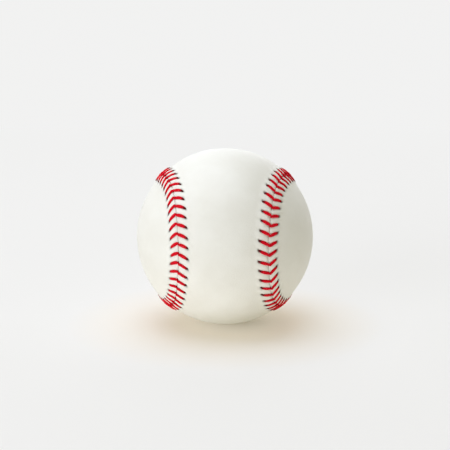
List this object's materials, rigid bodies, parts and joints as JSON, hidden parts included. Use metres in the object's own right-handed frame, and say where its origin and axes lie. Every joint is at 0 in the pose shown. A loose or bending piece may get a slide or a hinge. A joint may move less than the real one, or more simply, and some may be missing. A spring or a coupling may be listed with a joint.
{
  "type": "baseball",
  "caption": "Ball with a cork and rubber core, wound wool, and a leather cover of two waisted panels stitched along a raised red seam.",
  "frame": {"origin": "centre of the ball", "axes": "-Y through the waist of the front panel, +Y through the waist of the back panel, +Z through a lobe of the front panel, +X through a lobe of the back panel"},
  "size_m": [0.074, 0.074, 0.074],
  "materials": {
    "leather": "smooth cream-white tanned leather",
    "thread": "waxed bright red thread",
    "cork": "pressed composition cork",
    "black_rubber": "matt moulded rubber",
    "red_rubber": "matt moulded rubber",
    "grey_wool": "wound wool yarn",
    "white_wool": "wound wool yarn",
    "cotton": "wound fine cotton thread",
    "adhesive": "dried rubber cement"
  },
  "bodies": {
    "root": {"cork_core": "cork", "black_rubber_half_upper": "black_rubber", "black_rubber_half_lower": "black_rubber", "rubber_ring": "red_rubber", "red_rubber_half_left": "red_rubber", "red_rubber_half_right": "red_rubber", "wool_winding_inner": "grey_wool", "wool_winding_middle": "white_wool", "wool_winding_outer": "grey_wool", "cotton_winding": "cotton", "adhesive_coat": "adhesive", "cover_panel_front": "leather", "cover_panel_back": "leather", "seam_thread_first": "thread", "seam_thread_second": "thread"}
  },
  "joints": []
}
